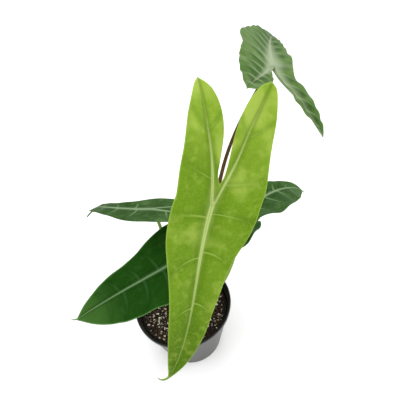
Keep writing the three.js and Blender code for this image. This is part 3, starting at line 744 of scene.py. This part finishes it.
def stalkSkin(name):
    # smooth waxy rind, matt enough to keep its colour, with fine streaks that run with the stalk
    look, pattern = stalkLooks[name], stalkPattern
    material, add, shader = newMaterial("petiole_skin_" + name)
    place = add("ShaderNodeTexCoord").outputs["Object"]
    along = add("ShaderNodeAttribute", {"attribute_name": "along"}).outputs["Fac"]
    stretched = add("ShaderNodeMapping", {}, {"Vector": place, "Scale": (1, 1, pattern["stretch"])})
    scale, detail = pattern["streak"]
    streak = add("ShaderNodeTexNoise", {}, {
        "Vector": stretched.outputs["Vector"], "Scale": scale, "Detail": detail}).outputs["Fac"]
    mask = add("ShaderNodeMapRange", {}, {
        "Value": streak, "From Min": pattern["from"], "From Max": pattern["full"],
        "To Max": pattern["most"]}).outputs["Result"]
    tone = hexColour(look["low"])
    for factor, paint in ((along, look["high"]), (mask, look["streak"])):
        tone = add("ShaderNodeMix", {"data_type": "RGBA"}, {
            "Factor": factor, 6: tone, 7: hexColour(paint)}).outputs[2]
    relief = add("ShaderNodeBump", {}, {"Strength": 0.2, "Distance": 0.3 * mm, "Height": streak})
    fillInputs(shader, {
        "Base Color": tone, "Roughness": 0.42, "IOR": 1.3, "Specular IOR Level": 0.25,
        "Normal": relief.outputs["Normal"]})
    return material


def stalkTree():
    # sweeps a round profile with a shallow channel along a path, wide at the foot and slim at the top
    tree, add, given = newTree("stalk_tree", {
        "Steps": "Int", "Sides": "Int", "Base": "Float", "Neck": "Float", "Top": "Float", "Sheath": "Float",
        "Channel": "Float", "Finish": "Material"})
    path = add("GeometryNodeMeshToCurve", {}, {"Mesh": given["Geometry"]})
    even = add("GeometryNodeResampleCurve", {}, {"Curve": path.outputs[0], "Count": given["Steps"]})
    along = add("GeometryNodeSplineParameter").outputs["Factor"]
    marked = add("GeometryNodeStoreNamedAttribute", {"data_type": "FLOAT", "domain": "POINT"}, {
        "Geometry": even.outputs[0], "Name": "along", "Value": along})
    slim = add("ShaderNodeMapRange", {}, {"Value": along, "To Min": given["Neck"], "To Max": given["Top"]})
    # the foot's extra width falls to 1 / e, 0.3679, over the length of the sheath
    flare = add("ShaderNodeMath", {"operation": "DIVIDE"}, {0: along, 1: given["Sheath"]})
    fading = add("ShaderNodeMath", {"operation": "POWER"}, {0: 0.3679, 1: flare.outputs[0]})
    wider = add("ShaderNodeMath", {"operation": "SUBTRACT"}, {0: given["Base"], 1: given["Neck"]})
    radius = add("ShaderNodeMath", {"operation": "MULTIPLY_ADD"}, {
        0: fading.outputs[0], 1: wider.outputs[0], 2: slim.outputs["Result"]})
    ring = add("GeometryNodeCurvePrimitiveCircle", {}, {"Resolution": given["Sides"], "Radius": 1.0})
    position = add("GeometryNodeInputPosition").outputs[0]
    where = add("ShaderNodeSeparateXYZ", {}, {0: position})
    dip = add("ShaderNodeMapRange", {"interpolation_type": "SMOOTHSTEP"}, {
        "Value": where.outputs["X"], "From Min": -0.8, "From Max": -1.0, "To Max": given["Channel"]})
    inwards = add("ShaderNodeCombineXYZ", {}, {"X": dip.outputs["Result"]})
    profile = add("GeometryNodeSetPosition", {}, {
        "Geometry": ring.outputs[0], "Offset": inwards.outputs[0]})
    swept = add("GeometryNodeCurveToMesh", {}, {
        "Curve": marked.outputs[0], "Profile Curve": profile.outputs[0], "Scale": radius.outputs[0],
        "Fill Caps": True})
    smooth = add("GeometryNodeSetShadeSmooth", {}, {"Geometry": swept.outputs[0]})
    finishTree(add, smooth.outputs[0], given["Finish"])
    return tree


def buildStalk(name, leaf, material):
    p = stalkShape
    angle = math.radians(leaf["stalkAngle"])
    foot = np.array([p["ring"] * math.cos(angle), p["ring"] * math.sin(angle), p["foot"]])
    junction, _, up = [value[0] for value in sampleSpine(leaf["spine"], np.array([0.0]))]
    top = junction - up * (bladeShape["under"] + 0.55 * bladeShape["ribUnder"])
    ways = [foot, *[np.array(way, float) for way in leaf["stalkWay"]], top]
    x = np.linspace(0, 1, p["pathPoints"])[:, None]
    path = (1 - x) ** 3 * ways[0] + 3 * (1 - x) ** 2 * x * ways[1] + 3 * (1 - x) * x ** 2 * ways[2] \
        + x ** 3 * ways[3]
    mesh = bpy.data.meshes.new("leaf_stalk_" + name)
    mesh.from_pydata((path * mm).tolist(), [(i, i + 1) for i in range(len(path) - 1)], [])
    piece = bpy.data.objects.new("leaf_stalk_" + name, mesh)
    bpy.context.collection.objects.link(piece)
    growTree(piece, stalkTree(), {
        "Steps": p["steps"], "Sides": p["sides"], "Base": p["base"] * mm, "Neck": p["neck"] * mm,
        "Top": p["top"] * mm, "Sheath": p["sheath"], "Channel": p["channel"], "Finish": material})
    return piece


stalkSkins = {name: stalkSkin(name) for name in stalkLooks}
for name, leaf in leaves.items():
    stalk = buildStalk(name, leaf, stalkSkins[leaf["stalkLook"]])
    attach(stalk, "root")
    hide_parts("stalk_" + name)
print("stalks made")


# Pot: injection moulded polypropylene, dark, with a stiff glossy rim band

potShape = {
    "height": 86, "rim": 54, "foot": 35.5, "wall": 1.6, "band": 7, "floor": 2.2,
    "drainRadius": 3.5, "drainRing": 22, "drains": 6, "drainSides": 40, "segments": 192,
}

# dust in patches of 11 mm, and draw lines 1.2 mm high round the wall
potLook = {
    "wall": ("#232422", "#343532"), "rimShade": ("#0c0d0c", "#1b1c1b"), "gloss": (0.28, 0.36),
    "dust": (90.0, 5.0), "drawLines": (60.0, 2.0), "squeeze": 14,
}


def wallRadius(z):
    p = potShape
    return p["foot"] + (p["rim"] - 2.8 - p["foot"]) * z / (p["height"] - p["band"])


def lathe(name, profile, segments, material):
    # profile runs from the axis to the axis, outside first; points are radius and height in mm
    points, faces, rings = [], [], []
    for r, z in profile:
        if r < 1e-6:
            rings.append([len(points)] * segments)
            points.append((0, 0, z))
        else:
            rings.append(list(range(len(points), len(points) + segments)))
            points += [(x, y, z) for x, y in ringPlaces(r, segments)]
    for low, high in zip(rings, rings[1:]):
        for j in range(segments):
            k = (j + 1) % segments
            corners = list(dict.fromkeys([low[j], low[k], high[k], high[j]]))
            if len(corners) > 2:
                faces.append(corners)
    return meshObject(name, np.array(points) * mm, faces, material)


def roundCorner(a, corner, b, radius, steps=5):
    # a rounded corner of the profile, as points on a quadratic curve
    a, corner, b = (np.array(p, float) for p in (a, corner, b))
    start = corner + unit(a - corner) * min(radius, np.linalg.norm(a - corner) * 0.49)
    end = corner + unit(b - corner) * min(radius, np.linalg.norm(b - corner) * 0.49)
    t = np.linspace(0, 1, steps)[:, None]
    return [tuple(p) for p in (1 - t) ** 2 * start + 2 * (1 - t) * t * corner + t ** 2 * end]


def potPlastic():
    # dark PP: a satin wall with faint draw lines and dust, and a glossier rim and inside, which are the same
    # plastic painted darker as painted shade
    p = potShape
    material, add, shader = newMaterial("moulded_polypropylene")
    place = add("ShaderNodeTexCoord").outputs["Object"]
    height = add("ShaderNodeSeparateXYZ", {}, {"Vector": place}).outputs["Z"]
    level = add("ShaderNodeVectorMath", {"operation": "MULTIPLY"}, {0: place, 1: (1, 1, 0)})
    radius = add("ShaderNodeVectorMath", {"operation": "LENGTH"}, {0: level.outputs[0]})
    # outer wall: below the band and outside the wall's middle line
    bandFoot = p["height"] - p["band"]
    slope = (wallRadius(bandFoot) - p["foot"]) / bandFoot
    wallLine = add("ShaderNodeMath", {"operation": "MULTIPLY_ADD"}, {
        0: height, 1: slope, 2: (p["foot"] - p["wall"] / 2) * mm}).outputs[0]
    outside = add("ShaderNodeMath", {"operation": "GREATER_THAN"}, {
        0: radius.outputs["Value"], 1: wallLine}).outputs[0]
    below = add("ShaderNodeMath", {"operation": "LESS_THAN"}, {
        0: height, 1: (bandFoot + 0.1) * mm}).outputs[0]
    isWall = add("ShaderNodeMath", {"operation": "MULTIPLY"}, {0: outside, 1: below}).outputs[0]
    lines = add("ShaderNodeMapping", {}, {
        "Vector": place, "Scale": (1, 1, potLook["squeeze"])}).outputs["Vector"]
    dust, draw = (
        add("ShaderNodeTexNoise", {}, {"Vector": vector, "Scale": scale, "Detail": detail}).outputs["Fac"]
        for vector, (scale, detail) in ((place, potLook["dust"]), (lines, potLook["drawLines"])))
    wall, rimShade = (
        add("ShaderNodeMix", {"data_type": "RGBA"}, {
            "Factor": dust, 6: hexColour(dark), 7: hexColour(pale)}).outputs[2]
        for dark, pale in (potLook["wall"], potLook["rimShade"]))
    # painted shade: the rim and inside take a darker tone of the same plastic than the wall
    tone = add("ShaderNodeMix", {"data_type": "RGBA"}, {"Factor": isWall, 6: rimShade, 7: wall})
    rimGloss, wallGloss = potLook["gloss"]
    rough = add("ShaderNodeMapRange", {}, {"Value": isWall, "To Min": rimGloss, "To Max": wallGloss})
    relief = add("ShaderNodeBump", {}, {"Strength": 0.15, "Distance": 0.2 * mm, "Height": draw})
    fillInputs(shader, {
        "Base Color": tone.outputs[2], "Roughness": rough.outputs["Result"], "IOR": 1.49,
        "Specular IOR Level": 0.3, "Normal": relief.outputs["Normal"]})
    return material


def buildPot():
    p = potShape
    bandFoot = p["height"] - p["band"]
    rim = p["rim"]
    corners = [
        (0, 0), (p["foot"] - 0.6, 0), (p["foot"] + 0.1, 1.4), (wallRadius(bandFoot), bandFoot),
        (rim - 0.8, bandFoot + 0.3), (rim, p["height"] - 1.6), (rim - 0.5, p["height"]),
        (rim - 2.1, p["height"]), (rim - 2.6, p["height"] - 2),
        (rim - 3.0, bandFoot), (wallRadius(bandFoot - 2) - p["wall"], bandFoot - 2),
        (wallRadius(p["floor"]) - p["wall"], p["floor"]), (0, p["floor"]),
    ]
    profile = [corners[0]]
    radii = [1.0, 0.8, 0.5, 0.5, 1.2, 0.7, 0.6, 1.2, 0.8, 0.8, 1.5]
    for i, radius in enumerate(radii, start=1):
        profile += roundCorner(corners[i - 1], corners[i], corners[i + 1], radius)
    profile.append(corners[-1])
    piece = lathe("nursery_pot", profile, p["segments"], potPlastic())
    holes = bpy.data.meshes.new("drain_holes")
    cutter = bmesh.new()
    for x, y in ringPlaces(p["drainRing"] * mm, p["drains"], start=0.5):
        bmesh.ops.create_cone(
            cutter, cap_ends=True, segments=p["drainSides"], radius1=p["drainRadius"] * mm,
            radius2=p["drainRadius"] * mm, depth=0.01, matrix=Matrix.Translation((x, y, 0)))
    cutter.to_mesh(holes)
    cutter.free()
    tool = bpy.data.objects.new("drain_holes", holes)
    bpy.context.scene.collection.objects.link(tool)
    cut = piece.modifiers.new("drain", "BOOLEAN")
    cut.object = tool
    cut.operation = "DIFFERENCE"
    bpy.context.view_layer.update()
    result = bpy.data.meshes.new_from_object(piece.evaluated_get(bpy.context.evaluated_depsgraph_get()))
    piece.modifiers.remove(cut)
    # the cut leaves slivers a thousandth of a millimetre wide
    work = bmesh.new()
    work.from_mesh(result)
    bmesh.ops.dissolve_degenerate(work, edges=work.edges, dist=0.002 * mm)
    work.to_mesh(result)
    work.free()
    piece.data = result
    bpy.data.objects.remove(tool)
    return piece


pot = buildPot()
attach(pot, "root")
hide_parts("pot")
print("pot made")


# Potting mix: damp peat with bark crumbs and perlite

mixShape = {
    "top": 74, "lump": 0.72, "bottom": 2.5, "gap": 0.35, "segments": 144, "rings": 34,
    "scatterFrom": 17.5, "scatterMargin": 2.6, "scatterRings": 24, "scatterSegments": 96,
    "skin": ("damp_peat", "#0c0805", "#2a1d12", 500.0, 0.95),
}

# crumbs for each square mm, smallest and largest radius in mm, and how flat they are
crumbKinds = {
    "perlite": {"count": 0.08, "size": (0.35, 1.9), "seed": 4, "flatness": 0.9,
                "skin": ("expanded_perlite", "#b3aa90", "#f4eedb", 700.0, 0.9)},
    "bark": {"count": 0.13, "size": (1.2, 2.6), "seed": 9, "flatness": 0.45,
             "skin": ("composted_bark", "#22150c", "#5f412a", 400.0, 0.85)},
    "peat": {"count": 0.55, "size": (0.5, 1.2), "seed": 14, "flatness": 0.8,
             "skin": ("peat_crumb", "#0f0a07", "#2c2018", 700.0, 0.95)},
}


def mixHeight(x, y):
    lump = np.sin(0.31 * x + 1.1) * np.sin(0.37 * y) + 0.6 * np.sin(0.83 * x - 0.71 * y)
    return mixShape["top"] + mixShape["lump"] * lump


def soilMaterial(name, dark, light, grain, roughness):
    # crumbly and dull: two tones of one colour in a grain as fine as the stuff itself, which is 1.4 mm
    # at 700 on perlite and peat crumbs, 2 mm at 500, 2.5 mm at 400 on bark and 4 mm at 260 on the corm
    material, add, shader = newMaterial(name)
    place = add("ShaderNodeTexCoord").outputs["Object"]
    fine = add("ShaderNodeTexNoise", {}, {"Vector": place, "Scale": grain, "Detail": 6.0}).outputs["Fac"]
    spread = add("ShaderNodeMapRange", {}, {"Value": fine, "From Min": 0.35, "From Max": 0.65})
    tone = add("ShaderNodeMix", {"data_type": "RGBA"}, {
        "Factor": spread.outputs["Result"], 6: hexColour(dark), 7: hexColour(light)})
    relief = add("ShaderNodeBump", {}, {"Strength": 0.6, "Distance": 0.6 * mm, "Height": fine})
    fillInputs(shader, {
        "Base Color": tone.outputs[2], "Roughness": roughness, "Normal": relief.outputs["Normal"]})
    return material


def mixWall(z):
    return wallRadius(z) - potShape["wall"] - mixShape["gap"]


def buildMixBody(material):
    # a lumpy top inside a smooth edge, on a taper that follows the pot
    p = mixShape
    wall = mixWall(p["top"])
    profile = [(r, p["top"]) for r in [0, *np.linspace(2, wall - 0.6, p["rings"])]]
    profile += [(wall, p["top"] - 0.4), (mixWall(p["bottom"] + 0.8), p["bottom"] + 0.8),
                (mixWall(p["bottom"]) - 1.5, p["bottom"]), (0, p["bottom"])]
    piece = lathe("potting_mix_body", profile[::-1], p["segments"], material)
    for corner in piece.data.vertices:
        if corner.co.z > (p["top"] - 0.1) * mm:
            corner.co.z = mixHeight(corner.co.x / mm, corner.co.y / mm) * mm
    return piece


def crumbTree(name):
    # scatters jagged crumbs on the faces of the surface it is put on
    tree, add, given = newTree(name, {
        "Density": "Float", "Smallest": "Float", "Largest": "Float", "Seed": "Int", "Flatness": "Float",
        "Finish": "Material"})
    points = add("GeometryNodeDistributePointsOnFaces", {}, {
        "Mesh": given["Geometry"], "Density": given["Density"], "Seed": given["Seed"]})
    ball = add("GeometryNodeMeshIcoSphere", {}, {"Radius": 1.0, "Subdivisions": 1})
    spin = add("FunctionNodeRandomValue", {"data_type": "FLOAT_VECTOR"}, {
        "Min": (0, 0, 0), "Max": (6.28, 6.28, 6.28), "Seed": given["Seed"]})
    size = add("FunctionNodeRandomValue", {"data_type": "FLOAT"}, {
        2: given["Smallest"], 3: given["Largest"], "Seed": given["Seed"]})
    stretch = add("FunctionNodeRandomValue", {"data_type": "FLOAT_VECTOR"}, {
        "Min": (0.6, 0.6, 0.5), "Max": (1.3, 1.0, 0.9), "Seed": given["Seed"]})
    flat = add("ShaderNodeCombineXYZ", {}, {"X": 1.0, "Y": 1.0, "Z": given["Flatness"]})
    shaped = add("ShaderNodeVectorMath", {"operation": "MULTIPLY"}, {
        0: stretch.outputs[0], 1: flat.outputs[0]})
    scaled = add("ShaderNodeVectorMath", {"operation": "SCALE"}, {
        0: shaped.outputs[0], "Scale": size.outputs[1]})
    copies = add("GeometryNodeInstanceOnPoints", {}, {
        "Points": points.outputs["Points"], "Instance": ball.outputs["Mesh"], "Rotation": spin.outputs[0],
        "Scale": scaled.outputs[0]})
    # made real before the jags, so that no two crumbs are alike
    real = add("GeometryNodeRealizeInstances", {}, {"Geometry": copies.outputs["Instances"]})
    noise = add("ShaderNodeTexNoise", {}, {"Scale": 900.0, "Detail": 1.0})
    centred = add("ShaderNodeVectorMath", {"operation": "SUBTRACT"}, {
        0: noise.outputs["Color"], 1: (0.5, 0.5, 0.5)})
    jag = add("ShaderNodeVectorMath", {"operation": "SCALE"}, {
        0: centred.outputs[0], "Scale": given["Largest"]})
    moved = add("GeometryNodeSetPosition", {}, {"Geometry": real.outputs[0], "Offset": jag.outputs[0]})
    finishTree(add, moved.outputs[0], given["Finish"])
    return tree


def scatterBase():
    # the mix's top face alone, from the corm's edge to the wall
    p = mixShape
    radii = np.linspace(p["scatterFrom"], mixWall(p["top"]) - p["scatterMargin"], p["scatterRings"])
    segments = p["scatterSegments"]
    points, faces = [], []
    for r in radii:
        points += [(x, y, mixHeight(x, y)) for x, y in ringPlaces(r, segments)]
    for i in range(len(radii) - 1):
        for j in range(segments):
            k = (j + 1) % segments
            low, high = i * segments, (i + 1) * segments
            faces.append((low + j, high + j, high + k, low + k))
    return np.array(points) * mm, faces


mixBody = buildMixBody(soilMaterial(*mixShape["skin"]))
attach(mixBody, "root")
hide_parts("potting_mix")
for kind, crumb in crumbKinds.items():
    finish = soilMaterial(*crumb["skin"])
    crumbs = meshObject("potting_mix_" + kind, *scatterBase(), finish, smooth=False)
    growTree(crumbs, crumbTree("potting_mix_" + kind + "_tree"), {
        "Density": crumb["count"] * 1e6, "Smallest": crumb["size"][0] * mm,
        "Largest": crumb["size"][1] * mm, "Seed": crumb["seed"], "Flatness": crumb["flatness"],
        "Finish": finish})
    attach(crumbs, "root")
    print(kind, "pieces of", len(crumbs.data.polygons), "faces")
print("potting mix made")


# Corm: a stout stem base in dry brown skin, ringed by old leaf scars

cormShape = {
    "top": 79, "bottom": 50, "rings": 5, "scar": 0.25, "steps": 60, "segments": 96,
    "outline": [(8, 50), (13.5, 56), (16.5, 64), (16.6, 72), (15.9, 76.2), (13.9, 78.3), (9, 78.9)],
    "skin": ("dry_corm_skin", "#3a2a1a", "#7a6244", 260.0, 0.8),  # papery: dull, lighter where it flakes
}


def buildCorm():
    p = cormShape
    profile = [(0, p["bottom"])]
    for r, z in alongOutline(p["outline"], np.linspace(0, 1, p["steps"])):
        turn = 2 * math.pi * p["rings"] * (z - p["bottom"]) / (p["top"] - p["bottom"])
        profile.append((r + min(p["scar"] * math.sin(turn), 0.15), z))
    profile.append((0, p["top"]))
    return lathe("corm_body", profile, p["segments"], soilMaterial(*p["skin"]))


cormPiece = buildCorm()
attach(cormPiece, "root")
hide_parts("corm")
print("corm made")
